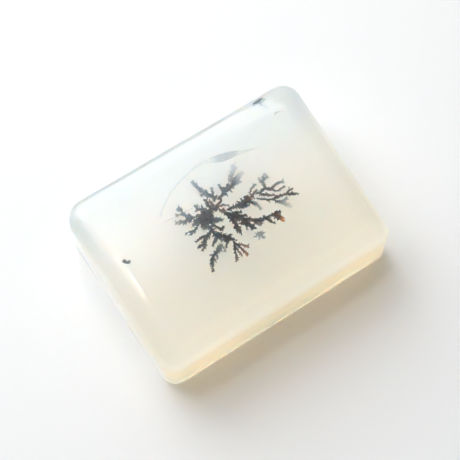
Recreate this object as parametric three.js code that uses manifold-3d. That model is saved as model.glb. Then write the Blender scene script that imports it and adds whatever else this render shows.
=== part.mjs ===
// Dendritic agate specimen: a polished rectangular tablet of milky chalcedony with a branching
// manganese growth sealed just under its flat top. Millimetres, +Z up, resting on Z = 0. The origin
// is under the middle of the tablet, X runs along its long side and Y along its short side.

import * as THREE from 'three';
import { mergeVertices } from 'three/addons/utils/BufferGeometryUtils.js';
import Module from 'manifold-3d';

const wasm = await Module();
wasm.setup();

// The tablet, hand cut and a little out of square
const BACK_LENGTH = 24.24;
const FRONT_LENGTH = 23.76;
const LEFT_WIDTH = 17.88;
const RIGHT_WIDTH = 17.52;
const THICKNESS = 6.5;
const CORNER_RADIUS = { backRight: 1.8, backLeft: 2.2, frontLeft: 1.6, frontRight: 1.3 };
const TOP_EDGE_RADIUS = 1.2;
const BASE_EDGE_RADIUS = 0.45;
const CORNER_STEPS = 6;
const TOP_EDGE_STEPS = 7;
const BASE_EDGE_STEPS = 4;

// The parting level is where the rounded top edge meets the upright sides
const PARTING_LEVEL = THICKNESS - TOP_EDGE_RADIUS;
const PARTING_GAP = 0.04;

// The growth: flattened branches of six sides with short leaves on both sides
const BRANCH_SIDES = 6;
const FLATNESS = 0.55;
const END_REACH = 0.8;
const LEAF_SPACING = 0.65;
const LEAF_REACH = 0.13;
const LEAF_ANGLE = 52;
const LEAF_SWAY = 8;
const LEAF_VARIATION = 0.25;
const LEAF_ROOT = 0.6;
const LEAF_WIDTH = 0.42;
const LEAF_THICKNESS = 0.3;
const VARY_STEP = 2.4;
const FORK_GAP = 0.03;
const SPRING_STEP = 0.25;

// Deeper growth lies a little further back: millimetres in X and Y for each millimetre of depth
const BACKWARD_LEAN = { x: 0.107, y: 0.168 };
const LEAN_FROM_DEPTH = 0.6;

// Room round the growth inside the stone
const POCKET_CLEARANCE = 0.12;
const POCKET_WIDENING = 1.15;
const POCKET_CIRCLE_SIDES = 6;

const MERGE_DISTANCE = 1e-5;
const UP = new THREE.Vector3(0, 0, 1);
const STONE_ROUGHNESS = 0.08;
const GROWTH_ROUGHNESS = 0.6;
const COLOUR = { stone: 0xe9e4d6, growth: 0x24272d, brownGrowth: 0x3a2517, hazyGrowth: 0x5a616b };

// A branch is the depth of its tip below the top and its points as [x, y, half width], root first.
// Leafy branches carry short leaves on both sides, and bare ones none.
const leafy = (tipDepth, points) => ({ tipDepth, points, leaves: true });
const bare = (tipDepth, points) => ({ tipDepth, points, leaves: false });

// Each limb of the growth lists its main branch first, which starts at the limb's root depth. Every
// other branch starts at the depth of the earlier branch that it springs from.
const LIMBS = [
  {
    name: 'dendrite_heart',
    colour: COLOUR.growth,
    rootDepth: 1,
    branches: [
      leafy(0.95, [
        [-2.62, 1.28, 0.2], [-2.3, 1.5, 0.3], [-1.8, 1.38, 0.42], [-1.3, 1.55, 0.37],
        [-0.8, 1.68, 0.29], [-0.42, 1.62, 0.18],
      ]),
      bare(1.05, [[-2.25, 1.05, 0.24], [-1.85, 0.95, 0.38], [-1.5, 0.85, 0.3]]),
      leafy(0.75, [[-0.78, 1.85, 0.16], [-0.72, 2.35, 0.12], [-0.7, 2.82, 0.09]]),
      bare(0.95, [[-1.25, 1.8, 0.2], [-1.3, 2.2, 0.12], [-1.3, 2.48, 0.08]]),
      leafy(1.2, [[-1.3, 1.75, 0.22], [-1.55, 2.2, 0.16], [-1.78, 2.4, 0.2], [-1.7, 2.72, 0.08]]),
      bare(0.7, [[-0.5, 1.72, 0.16], [0, 1.8, 0.11], [0.48, 1.92, 0.09]]),
      bare(1.1, [[-0.45, 1.6, 0.16], [0.15, 1.58, 0.1], [0.52, 1.42, 0.1], [0.75, 1.2, 0.07]]),
      bare(1.2, [[-1.3, 1.2, 0.3], [-0.95, 0.72, 0.17], [-0.6, 0.52, 0.16], [-0.42, 0.4, 0.09]]),
      bare(0.75, [[-0.45, 1.8, 0.14], [-0.34, 2.1, 0.1], [-0.3, 2.35, 0.07]]),
    ],
  },
  {
    name: 'dendrite_north_limb',
    colour: COLOUR.hazyGrowth,
    rootDepth: 1,
    branches: [
      leafy(1.5, [
        [-0.2, 2.3, 0.12], [0.02, 2.55, 0.24], [-0.2, 2.95, 0.2], [-0.42, 3.35, 0.2],
        [-0.56, 3.8, 0.12], [-0.66, 4.3, 0.13], [-0.72, 4.78, 0.11],
      ]),
      bare(1.2, [[-0.3, 3.3, 0.16], [-0.78, 3.36, 0.1]]),
      bare(1.2, [[-0.35, 3.2, 0.14], [-0.2, 3.5, 0.09]]),
      bare(1.2, [[0.05, 2.6, 0.16], [0.24, 3, 0.1], [0.38, 3.42, 0.06]]),
    ],
  },
  {
    name: 'dendrite_northeast_limb',
    colour: COLOUR.hazyGrowth,
    rootDepth: 0.85,
    branches: [
      leafy(1.9, [
        [0.2, 2.24, 0.06], [0.62, 2.3, 0.08], [0.95, 2.45, 0.16], [1.25, 2.62, 0.25],
        [1.6, 2.62, 0.32], [1.95, 2.68, 0.15], [2.3, 2.78, 0.24], [2.28, 3.2, 0.14],
        [2.6, 3.62, 0.11], [3, 3.95, 0.17], [3.14, 4.2, 0.07],
      ]),
      bare(0.9, [[0.98, 2.4, 0.14], [1.2, 2.14, 0.1]]),
      bare(1.1, [[1.2, 2.65, 0.2], [1.12, 3.05, 0.14], [1.08, 3.34, 0.06]]),
      bare(1.95, [[2.3, 2.85, 0.18], [2.7, 3.02, 0.13], [3.05, 3.15, 0.13], [3.45, 3.22, 0.06]]),
      bare(1.9, [[2.35, 2.72, 0.18], [2.75, 2.62, 0.12]]),
    ],
  },
  {
    name: 'dendrite_west_limb',
    colour: COLOUR.hazyGrowth,
    rootDepth: 1.05,
    branches: [
      leafy(1.2, [
        [-2.38, 1.85, 0.2], [-2.7, 2.08, 0.26], [-2.98, 2.5, 0.11], [-3.04, 2.95, 0.09],
        [-3.16, 3.38, 0.12],
      ]),
      bare(1, [[-2.95, 2.62, 0.08], [-3.3, 2.76, 0.05], [-3.6, 2.86, 0.08]]),
      bare(1.15, [[-3.04, 2.95, 0.07], [-2.92, 3.26, 0.06]]),
      leafy(1.35, [
        [-2.66, 1.95, 0.22], [-3.15, 1.92, 0.17], [-3.55, 2.08, 0.13], [-3.92, 2.34, 0.1],
      ]),
    ],
  },
  {
    name: 'dendrite_southwest_limb',
    colour: COLOUR.growth,
    rootDepth: 0.95,
    branches: [
      bare(0.8, [
        [-2.62, 1.02, 0.12], [-2.9, 0.9, 0.12], [-3.25, 0.87, 0.12], [-3.52, 0.98, 0.07],
        [-3.86, 1.02, 0.07],
      ]),
      bare(0.8, [[-3.2, 0.84, 0.1], [-3.56, 0.7, 0.1]]),
      bare(0.85, [[-3, 0.88, 0.1], [-3.06, 0.68, 0.08]]),
    ],
  },
  {
    name: 'dendrite_south_trunk',
    colour: COLOUR.growth,
    rootDepth: 0.95,
    branches: [
      leafy(0.6, [
        [-1.62, 0.5, 0.17], [-1.68, 0.1, 0.15], [-1.7, -0.3, 0.15], [-1.66, -0.68, 0.24],
        [-1.35, -0.78, 0.18], [-1.08, -0.98, 0.17], [-0.95, -1.28, 0.26], [-0.88, -1.58, 0.22],
      ]),
      bare(0.85, [[-1.7, -0.8, 0.18], [-2.05, -0.92, 0.13], [-2.42, -1.18, 0.08]]),
      bare(0.55, [
        [-1.72, 0.05, 0.11], [-2.2, -0.16, 0.1], [-2.5, 0, 0.12], [-2.95, 0.02, 0.12],
        [-3.42, -0.06, 0.05],
      ]),
      bare(0.7, [
        [-2.4, -0.12, 0.12], [-2.8, -0.4, 0.14], [-3.08, -0.64, 0.15], [-3.55, -0.6, 0.08],
      ]),
      bare(0.75, [[-2.95, -0.6, 0.14], [-3.2, -0.95, 0.13], [-3.4, -1.08, 0.06]]),
      bare(0.62, [[-2.22, -0.16, 0.1], [-2.27, -0.44, 0.08]]),
      bare(0.55, [
        [-1.42, 0.52, 0.1], [-1.22, 0.12, 0.09], [-1.1, -0.18, 0.09], [-0.96, -0.38, 0.12],
        [-0.8, -0.26, 0.07],
      ]),
      bare(0.55, [[-0.85, -1.5, 0.16], [-0.5, -1.68, 0.09], [-0.42, -1.88, 0.06]]),
      bare(0.6, [[-1.1, -1.45, 0.16], [-1.32, -1.75, 0.1], [-1.45, -1.98, 0.06]]),
    ],
  },
  {
    name: 'dendrite_south_fern',
    colour: COLOUR.hazyGrowth,
    rootDepth: 0.95,
    branches: [
      leafy(0.75, [
        [-1.62, -1.55, 0.1], [-1.85, -1.58, 0.15], [-2.15, -1.72, 0.15], [-2.5, -1.9, 0.15],
        [-2.88, -1.98, 0.17], [-3.15, -2.32, 0.15], [-3.35, -2.62, 0.1], [-3.5, -2.9, 0.08],
        [-3.6, -3.18, 0.07],
      ]),
      bare(0.9, [[-2, -1.68, 0.1], [-2.08, -2.08, 0.06]]),
      bare(0.95, [[-2.6, -1.98, 0.12], [-2.62, -2.4, 0.07]]),
      bare(0.9, [[-3.05, -2.25, 0.1], [-2.96, -2.66, 0.05]]),
      bare(1.1, [[-1.72, -1.66, 0.09], [-1.66, -2, 0.08], [-1.8, -2.2, 0.05]]),
    ],
  },
  {
    name: 'dendrite_brown_fan',
    colour: COLOUR.brownGrowth,
    rootDepth: 0.58,
    branches: [
      bare(0.6, [
        [-0.78, -1.88, 0.07], [-0.82, -2.1, 0.07], [-0.96, -2.4, 0.06], [-1.1, -2.75, 0.08],
        [-1.3, -3.18, 0.1], [-1.46, -3.5, 0.06],
      ]),
      bare(0.62, [[-0.88, -2.2, 0.05], [-0.9, -2.8, 0.055], [-0.78, -3.36, 0.05]]),
      bare(0.55, [
        [-0.8, -2, 0.06], [-0.62, -2.3, 0.06], [-0.53, -2.75, 0.07], [-0.45, -3.12, 0.085],
        [-0.37, -3.52, 0.05],
      ]),
      bare(0.5, [
        [-0.6, -2.35, 0.06], [-0.3, -2.47, 0.07], [-0.12, -2.75, 0.075], [0.08, -2.9, 0.12],
      ]),
    ],
  },
  {
    name: 'dendrite_east_heart',
    colour: COLOUR.growth,
    rootDepth: 0.8,
    branches: [
      bare(0.72, [
        [-0.14, 1.32, 0.06], [0, 1.08, 0.08], [0.18, 0.85, 0.14], [0.35, 0.55, 0.26],
        [0.62, 0.2, 0.34], [0.95, 0, 0.3], [1.15, -0.35, 0.26], [1.12, -0.8, 0.3],
        [1.3, -1.2, 0.24], [1.5, -1.55, 0.19], [1.58, -1.8, 0.14],
      ]),
      leafy(0.6, [
        [0.4, 0.25, 0.24], [0.32, -0.1, 0.17], [0.36, -0.45, 0.12], [0.3, -0.85, 0.18],
        [0.24, -1.2, 0.1], [0.36, -1.52, 0.07],
      ]),
      bare(0.6, [[0.95, 0.1, 0.16], [1.38, 0.15, 0.1]]),
      bare(0.52, [[1.2, -0.28, 0.16], [1.6, -0.4, 0.09]]),
      bare(0.7, [[1, -0.72, 0.2], [0.78, -0.82, 0.12]]),
      bare(0.8, [[1.1, -1.1, 0.16], [0.98, -1.48, 0.06]]),
      bare(0.75, [[0.16, 0.9, 0.1], [0.22, 1.22, 0.06]]),
      bare(0.72, [[0.5, 0.4, 0.2], [0.85, 0.32, 0.14], [1.02, 0.22, 0.1]]),
    ],
  },
  {
    name: 'dendrite_east_limb',
    colour: COLOUR.growth,
    rootDepth: 0.78,
    branches: [
      leafy(0.95, [
        [0.42, 0.92, 0.08], [0.75, 0.82, 0.09], [1.05, 0.86, 0.1], [1.4, 0.76, 0.14],
        [1.85, 0.72, 0.32], [2.3, 0.8, 0.3], [2.65, 0.84, 0.16], [3.1, 0.76, 0.13],
      ]),
      bare(0.8, [[1.9, 0.6, 0.2], [1.98, 0.28, 0.1]]),
      bare(1, [[2.4, 0.65, 0.2], [2.62, 0.35, 0.13], [2.74, 0, 0.09]]),
      bare(1.35, [[2.66, 0.3, 0.1], [2.95, 0.08, 0.13], [3.06, -0.3, 0.12], [3.1, -0.68, 0.06]]),
      bare(1.25, [[2.95, 0.88, 0.09], [3.02, 1.2, 0.08], [3.4, 1.46, 0.08], [3.8, 1.6, 0.07]]),
      bare(0.85, [[1.65, 0.85, 0.12], [1.65, 1.12, 0.07]]),
      bare(0.88, [[2.3, 0.9, 0.16], [2.35, 1.12, 0.08]]),
      bare(1.1, [[3, 0.9, 0.08], [3.35, 1.08, 0.07], [3.66, 1.14, 0.06]]),
    ],
  },
  {
    name: 'dendrite_far_east_limb',
    colour: COLOUR.brownGrowth,
    rootDepth: 0.85,
    branches: [
      bare(0.55, [
        [3.2, 0.5, 0.06], [3.48, 0.22, 0.065], [3.76, 0, 0.08], [4.05, -0.22, 0.09],
        [4.45, -0.4, 0.09], [4.9, -0.42, 0.085], [5.3, -0.47, 0.075], [5.66, -0.58, 0.065],
        [6, -0.48, 0.08], [6.4, -0.42, 0.06],
      ]),
      bare(0.6, [[5.7, -0.58, 0.06], [6.04, -0.86, 0.12], [6.3, -0.98, 0.09], [6.5, -1.18, 0.05]]),
      bare(0.55, [[6.08, -0.46, 0.05], [6.18, -0.26, 0.045]]),
      bare(0.8, [[3.92, -0.14, 0.07], [4.02, -0.46, 0.06]]),
      leafy(0.9, [
        [4.88, -0.36, 0.07], [4.6, -0.12, 0.08], [4.28, 0.12, 0.085], [4.02, 0.4, 0.1],
        [3.78, 0.6, 0.13], [3.56, 0.84, 0.07],
      ]),
      bare(1.1, [
        [3.8, 0.68, 0.1], [4.15, 0.88, 0.14], [4.5, 0.74, 0.1], [4.78, 0.48, 0.09],
        [4.98, 0.2, 0.08], [5.2, 0.08, 0.07], [5.55, 0.06, 0.075], [5.9, 0.1, 0.06],
      ]),
      bare(1.1, [[4.84, 0.44, 0.08], [5.2, 0.6, 0.08], [5.62, 0.63, 0.085], [6.08, 0.55, 0.07]]),
      bare(1.5, [[4.36, 0.86, 0.1], [4.42, 1.3, 0.13], [4.62, 1.66, 0.17], [5.05, 1.72, 0.12]]),
      leafy(1.45, [
        [4.42, -0.46, 0.09], [4.62, -0.74, 0.12], [4.88, -0.96, 0.14], [5.1, -1.12, 0.15],
        [5.25, -1.42, 0.09], [5.5, -1.78, 0.05],
      ]),
      bare(1.05, [[5, -0.98, 0.09], [5.46, -1.02, 0.07]]),
    ],
  },
  {
    name: 'dendrite_southeast_limb',
    colour: COLOUR.growth,
    rootDepth: 0.7,
    branches: [
      leafy(0.48, [
        [1.52, -0.66, 0.09], [1.78, -0.92, 0.13], [2, -1.16, 0.12], [2.3, -1.36, 0.21],
        [2.62, -1.46, 0.17], [2.9, -1.62, 0.16], [3.15, -1.6, 0.07], [3.48, -1.57, 0.085],
        [3.8, -1.66, 0.18], [4.1, -1.6, 0.11], [4.26, -1.76, 0.08],
      ]),
      bare(0.6, [[2.78, -1.5, 0.12], [2.86, -1.2, 0.07]]),
      bare(0.55, [[2.95, -1.66, 0.11], [3.1, -2.02, 0.09], [3.34, -2.38, 0.07]]),
      bare(0.46, [[3.8, -1.7, 0.16], [3.84, -2, 0.15], [3.98, -2.36, 0.08], [4.14, -2.6, 0.05]]),
      bare(0.46, [[3.92, -1.85, 0.13], [4.1, -2.12, 0.09], [4.3, -2.46, 0.05]]),
      bare(0.75, [[2.25, -1.42, 0.14], [2.32, -1.78, 0.08]]),
    ],
  },
  {
    name: 'dendrite_lone_tuft',
    colour: COLOUR.hazyGrowth,
    rootDepth: 1.55,
    branches: [
      leafy(1.6, [[1.62, -2.3, 0.08], [1.68, -2.5, 0.16], [1.76, -2.78, 0.12], [1.8, -2.98, 0.06]]),
      bare(1.6, [[1.6, -2.5, 0.1], [1.38, -2.46, 0.09], [1.36, -2.66, 0.05]]),
    ],
  },
];

// A small dark grain of two lumps near the left end of the top
const GRAIN = {
  name: 'dark_grain',
  colour: COLOUR.growth,
  rootDepth: 0.75,
  branches: [
    bare(0.75, [
      [-9.86, 1.84, 0.08], [-9.7, 1.74, 0.2], [-9.52, 1.62, 0.12], [-9.35, 1.55, 0.2],
      [-9.18, 1.46, 0.08],
    ]),
  ],
};

// A closed geometry as a manifold-3d solid
function solidOf(geometry) {
  const plain = geometry.clone();
  plain.deleteAttribute('normal');
  plain.deleteAttribute('uv');
  const merged = mergeVertices(plain, MERGE_DISTANCE);
  return new wasm.Manifold(
    new wasm.Mesh({
      numProp: 3,
      vertProperties: merged.attributes.position.array,
      triVerts: new Uint32Array(merged.index.array),
    }),
  );
}

function geometryOf(solid) {
  const mesh = solid.getMesh();
  const geometry = new THREE.BufferGeometry();
  geometry.setAttribute('position', new THREE.BufferAttribute(mesh.vertProperties, 3));
  geometry.setIndex(new THREE.BufferAttribute(mesh.triVerts, 1));
  const faceted = geometry.toNonIndexed();
  faceted.computeVertexNormals();
  return faceted;
}

const joined = (solids) => solids.reduce((all, next) => all.add(next));

function named(name, solid, colour, roughness) {
  const material = new THREE.MeshStandardMaterial({ color: colour, roughness, metalness: 0 });
  const mesh = new THREE.Mesh(geometryOf(solid), material);
  mesh.name = name;
  return mesh;
}

// A fillet arc between the sides before and after a corner, turning left
function filletPoints(before, corner, after, radius) {
  const toBefore = before.clone().sub(corner).normalize();
  const toAfter = after.clone().sub(corner).normalize();
  const half = Math.acos(toBefore.dot(toAfter)) / 2;
  const middle = toBefore.clone().add(toAfter).normalize();
  const centre = corner.clone().addScaledVector(middle, radius / Math.sin(half));
  const start = corner.clone().addScaledVector(toBefore, radius / Math.tan(half)).sub(centre);
  const sweep = Math.PI - 2 * half;
  return Array.from({ length: CORNER_STEPS + 1 }, (_, step) =>
    start.clone().rotateAround(new THREE.Vector2(), (sweep * step) / CORNER_STEPS).add(centre),
  );
}

function tabletOutline() {
  const corners = [
    [BACK_LENGTH / 2, RIGHT_WIDTH / 2, CORNER_RADIUS.backRight],
    [-BACK_LENGTH / 2, LEFT_WIDTH / 2, CORNER_RADIUS.backLeft],
    [-FRONT_LENGTH / 2, -LEFT_WIDTH / 2, CORNER_RADIUS.frontLeft],
    [FRONT_LENGTH / 2, -RIGHT_WIDTH / 2, CORNER_RADIUS.frontRight],
  ].map(([x, y, radius]) => ({ at: new THREE.Vector2(x, y), radius }));
  const points = corners.flatMap(({ at, radius }, i) =>
    filletPoints(corners.at(i - 1).at, at, corners[(i + 1) % corners.length].at, radius),
  );
  return new THREE.Shape(points);
}

// The outline pushed up from one level to another, with both its ends rounded
function roundedBlock(low, high, radius, steps) {
  const block = new THREE.ExtrudeGeometry(tabletOutline(), {
    depth: high - low - 2 * radius,
    steps: 1,
    bevelEnabled: true,
    bevelThickness: radius,
    bevelSize: radius,
    bevelOffset: -radius,
    bevelSegments: steps,
  });
  return solidOf(block.translate(0, 0, low + radius));
}

// The whole tablet: the part that a block rounded for the top and one rounded for the base share
function wholeTablet() {
  const forTop = roundedBlock(-THICKNESS, THICKNESS, TOP_EDGE_RADIUS, TOP_EDGE_STEPS);
  const forBase = roundedBlock(0, 2 * THICKNESS, BASE_EDGE_RADIUS, BASE_EDGE_STEPS);
  return forTop.intersect(forBase);
}

function slab(low, high) {
  const size = 2 * BACK_LENGTH;
  return solidOf(new THREE.BoxGeometry(size, size, high - low).translate(0, 0, (low + high) / 2));
}

// A branch's points in space with their depths and half widths, evenly sunk from root to tip
function placed({ tipDepth, points, leaves }, rootDepth) {
  const spots = points.map(([x, y, width], i) => {
    const depth = THREE.MathUtils.lerp(rootDepth, tipDepth, i / (points.length - 1));
    const lean = depth - LEAN_FROM_DEPTH;
    const at = new THREE.Vector3(
      x + BACKWARD_LEAN.x * lean,
      y + BACKWARD_LEAN.y * lean,
      THICKNESS - depth,
    );
    return { at, width, depth, plan: new THREE.Vector2(x, y) };
  });
  return { spots, leaves };
}

// The depth of the nearest point on the earlier branches
function springDepth(earlier, [x, y]) {
  const root = new THREE.Vector2(x, y);
  let nearest = { distance: Infinity, depth: 0 };
  for (const { spots } of earlier) {
    for (let i = 1; i < spots.length; i += 1) {
      for (let t = 0; t <= 1; t += SPRING_STEP) {
        const distance = spots[i - 1].plan.clone().lerp(spots[i].plan, t).distanceTo(root);
        const depth = THREE.MathUtils.lerp(spots[i - 1].depth, spots[i].depth, t);
        if (distance < nearest.distance) nearest = { distance, depth };
      }
    }
  }
  return nearest.depth;
}

function placedBranches({ rootDepth, branches }) {
  const done = [];
  for (const branch of branches) {
    const from = done.length ? springDepth(done, branch.points[0]) : rootDepth;
    done.push(placed(branch, from));
  }
  return done;
}

// The level frame of a branch at one of its spots: along it and across it
function frameAt(spots, i) {
  const from = spots[Math.max(i - 1, 0)].at;
  const to = spots[Math.min(i + 1, spots.length - 1)].at;
  const along = to.clone().sub(from).setZ(0).normalize();
  return { along, across: new THREE.Vector3(along.y, -along.x, 0) };
}

// A lathed spindle with one ring for each spot of the branch, bent to follow the branch
function branchSolid({ spots }, grow) {
  const last = spots.length - 1;
  const profile = [new THREE.Vector2(0, -1)];
  spots.forEach(({ width }, i) => profile.push(new THREE.Vector2(width + grow, i)));
  profile.push(new THREE.Vector2(0, last + 1));
  const spindle = new THREE.LatheGeometry(profile, BRANCH_SIDES);
  const position = spindle.attributes.position;
  const bent = new THREE.Vector3();
  for (let v = 0; v < position.count; v += 1) {
    const level = Math.round(position.getY(v));
    const i = THREE.MathUtils.clamp(level, 0, last);
    const { at, width } = spots[i];
    const { along, across } = frameAt(spots, i);
    bent.copy(at).addScaledVector(across, position.getX(v));
    bent.z += FLATNESS * position.getZ(v);
    bent.addScaledVector(along, (level - i) * (width + grow) * END_REACH);
    position.setXYZ(v, bent.x, bent.y, bent.z);
  }
  return solidOf(spindle);
}

// A repeatable value from -1 to 1 that jumps about from count to count
const vary = (count) => Math.sin(count * VARY_STEP) * Math.cos(count * count);

// One leaf that grows out of a branch at a root point, in a level heading
function leafSolid(root, heading, length, grow) {
  const leaf = new THREE.OctahedronGeometry(1);
  leaf.scale(length + grow, length * LEAF_WIDTH + grow, length * LEAF_THICKNESS + grow);
  leaf.rotateZ(Math.atan2(heading.y, heading.x));
  return solidOf(leaf.translate(root.x, root.y, root.z));
}

// Leaves along a branch, on its two sides in turn, leaning towards the tip
function leafSolids({ spots, leaves }, grow) {
  const solids = [];
  for (let i = 1; leaves && i < spots.length; i += 1) {
    const start = spots[i - 1];
    const end = spots[i];
    const count = Math.round(start.at.distanceTo(end.at) / LEAF_SPACING);
    const { along } = frameAt(spots, i);
    for (let n = 0; n < count; n += 1) {
      const t = (n + 0.5) / count;
      const side = (i + n) % 2 ? 1 : -1;
      const width = THREE.MathUtils.lerp(start.width, end.width, t);
      const length = width / 2 + LEAF_REACH * (1 + LEAF_VARIATION * vary(i + n + start.plan.x));
      const angle = LEAF_ANGLE + LEAF_SWAY * vary(i + n + start.plan.y);
      const heading = along.clone().applyAxisAngle(UP, side * THREE.MathUtils.degToRad(angle));
      const root = start.at.clone().lerp(end.at, t).addScaledVector(heading, width * LEAF_ROOT);
      solids.push(leafSolid(root, heading, length, grow));
    }
  }
  return solids;
}

function limbSolid(limb, grow = 0) {
  const branches = placedBranches(limb);
  return joined(branches.flatMap((one) => [branchSolid(one, grow), ...leafSolids(one, grow)]));
}

// The points of an outline that wraps the given ones, in order
function wrap(points) {
  const sorted = [...points].sort((a, b) => a.x - b.x || a.y - b.y);
  const turnsLeft = (a, b, c) => (b.x - a.x) * (c.y - a.y) - (b.y - a.y) * (c.x - a.x) > 1e-9;
  const half = (list) => {
    const kept = [];
    for (const point of list) {
      while (kept.length > 1 && !turnsLeft(kept.at(-2), kept.at(-1), point)) kept.pop();
      kept.push(point);
    }
    return kept.slice(0, -1);
  };
  return [...half(sorted), ...half(sorted.reverse())];
}

// An upright cell round a limb and its leaves, reaching across the parting level
function pocketCell(limb) {
  const spots = placedBranches(limb).flatMap((branch) => branch.spots);
  const rim = spots.flatMap(({ at, width }) => {
    const reach = width * POCKET_WIDENING + LEAF_REACH + POCKET_CLEARANCE;
    return Array.from({ length: POCKET_CIRCLE_SIDES }, (_, n) => {
      const angle = (2 * Math.PI * n) / POCKET_CIRCLE_SIDES;
      return new THREE.Vector2(at.x + reach * Math.cos(angle), at.y + reach * Math.sin(angle));
    });
  });
  const lows = spots.map(({ at, width }) => at.z - width * FLATNESS);
  const highs = spots.map(({ at, width }) => at.z + width * FLATNESS);
  const low = Math.min(PARTING_LEVEL - PARTING_GAP, ...lows) - POCKET_CLEARANCE;
  const high = Math.max(PARTING_LEVEL + PARTING_GAP, ...highs) + POCKET_CLEARANCE;
  const outline = new THREE.Shape(wrap(rim));
  const cell = new THREE.ExtrudeGeometry(outline, { depth: high - low, bevelEnabled: false });
  return solidOf(cell.translate(0, 0, low));
}

// Each limb gives way to the ones before it, by the width of a hairline
function limbMeshes() {
  const cutters = [];
  return LIMBS.map((limb) => {
    const solid = cutters.reduce((left, cutter) => left.subtract(cutter), limbSolid(limb));
    cutters.push(limbSolid(limb, FORK_GAP));
    return named(limb.name, solid, limb.colour, GROWTH_ROUGHNESS);
  });
}

function tabletMeshes() {
  const cells = [...LIMBS, GRAIN].map(pocketCell);
  const stone = wholeTablet().subtract(joined(cells));
  const seam = PARTING_GAP / 2;
  const upper = stone.intersect(slab(PARTING_LEVEL + seam, 2 * THICKNESS));
  const lower = stone.intersect(slab(-THICKNESS, PARTING_LEVEL - seam));
  return [
    named('agate_upper', upper, COLOUR.stone, STONE_ROUGHNESS),
    named('agate_lower', lower, COLOUR.stone, STONE_ROUGHNESS),
  ];
}

const group = new THREE.Group();
group.name = 'dendritic_agate';
group.add(...tabletMeshes(), ...limbMeshes());
group.add(named(GRAIN.name, limbSolid(GRAIN), GRAIN.colour, GROWTH_ROUGHNESS));

export default group;
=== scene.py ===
"""A polished rectangular tablet of milky agate with a dark branching growth inside it."""

import math
import random

import bmesh
import bpy
from bpy.props import FloatProperty, FloatVectorProperty, IntProperty, PointerProperty
from mathutils import Matrix, Vector


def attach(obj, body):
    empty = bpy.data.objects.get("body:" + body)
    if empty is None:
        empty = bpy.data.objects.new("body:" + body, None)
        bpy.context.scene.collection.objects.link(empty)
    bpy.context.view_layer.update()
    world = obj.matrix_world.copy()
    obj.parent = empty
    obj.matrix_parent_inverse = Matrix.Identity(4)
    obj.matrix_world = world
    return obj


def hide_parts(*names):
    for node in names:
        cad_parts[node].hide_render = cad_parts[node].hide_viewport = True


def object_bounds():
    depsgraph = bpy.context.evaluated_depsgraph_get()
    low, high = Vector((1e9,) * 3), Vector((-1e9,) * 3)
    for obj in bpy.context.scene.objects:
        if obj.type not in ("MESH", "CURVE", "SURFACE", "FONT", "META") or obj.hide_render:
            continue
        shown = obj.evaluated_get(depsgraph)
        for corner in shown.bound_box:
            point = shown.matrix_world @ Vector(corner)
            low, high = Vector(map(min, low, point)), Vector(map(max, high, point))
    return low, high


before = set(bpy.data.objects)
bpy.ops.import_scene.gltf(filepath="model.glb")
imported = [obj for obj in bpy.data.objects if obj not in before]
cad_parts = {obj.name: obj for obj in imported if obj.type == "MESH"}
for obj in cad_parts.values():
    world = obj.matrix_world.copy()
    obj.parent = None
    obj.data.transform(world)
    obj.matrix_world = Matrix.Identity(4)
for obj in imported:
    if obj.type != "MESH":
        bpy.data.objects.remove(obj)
CAD_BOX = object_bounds()

bl_info = {
    "name": "Dendritic Agate Tablet",
    "version": (1, 0, 0),
    "blender": (4, 5, 0),
    "location": "View3D > Sidebar > Agate",
    "description": "Builds a polished agate tablet with its branching growth, and its studio",
    "category": "Add Mesh",
}

MM = 0.001
BODY = "root"
TOP = 6.5
FERN = True
TWIG = False

# The corners of the tablet in plan as (x, y, radius), from the back right one anticlockwise. Where
# a rim is drawn in, its corners' radii shrink by this share of that.
CORNERS = ((12.12, 8.76, 1.8), (-12.12, 8.94, 2.2), (-11.88, -8.94, 1.6), (11.88, -8.76, 1.3))
CORNER_SHRINK = 0.45

# The steps in the curve of a corner, of the base edge and of the rounded shoulder
CORNER_STEPS = 14
BASE_STEPS = 6
SHOULDER_STEPS = 18

# The stone turns from cool to honey along this slope, in shares for each millimetre: painted warmth
# of the light that has come through the stone from the lit back
PAINTED_WARMTH_SLOPE = (0.012, -0.075, -0.03)

# The growth is this much flatter than it is wide
FLATNESS = 0.55

# Growth that lies deeper than this below the top is painted pale and faded for the veil of light
# scattered in the milk above it, and trails a painted haze for its blur
VEILED_FROM = 1.15

# Lobes along a branch: the step between them, and the chance of one and how far it reaches out on
# a fern and on a twig, with the degrees that it leans out at. Then the same for a fern's buds.
LOBE_STEP = 0.15
LOBE_CHANCE = {FERN: 0.95, TWIG: 0.75}
LOBE_REACH = {FERN: (0.06, 0.19), TWIG: (0.03, 0.11)}
LOBE_LEAN = (35, 80)
BUD_CHANCE = 0.6
BUD_REACH = (0.06, 0.13)
BUD_LEAN = (50, 80)

# Deeper growth lies a little further back, in X and Y for each millimetre of depth past 0.6
LEAN = Vector((0.107, 0.168))
LEAN_FROM = 0.6

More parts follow.
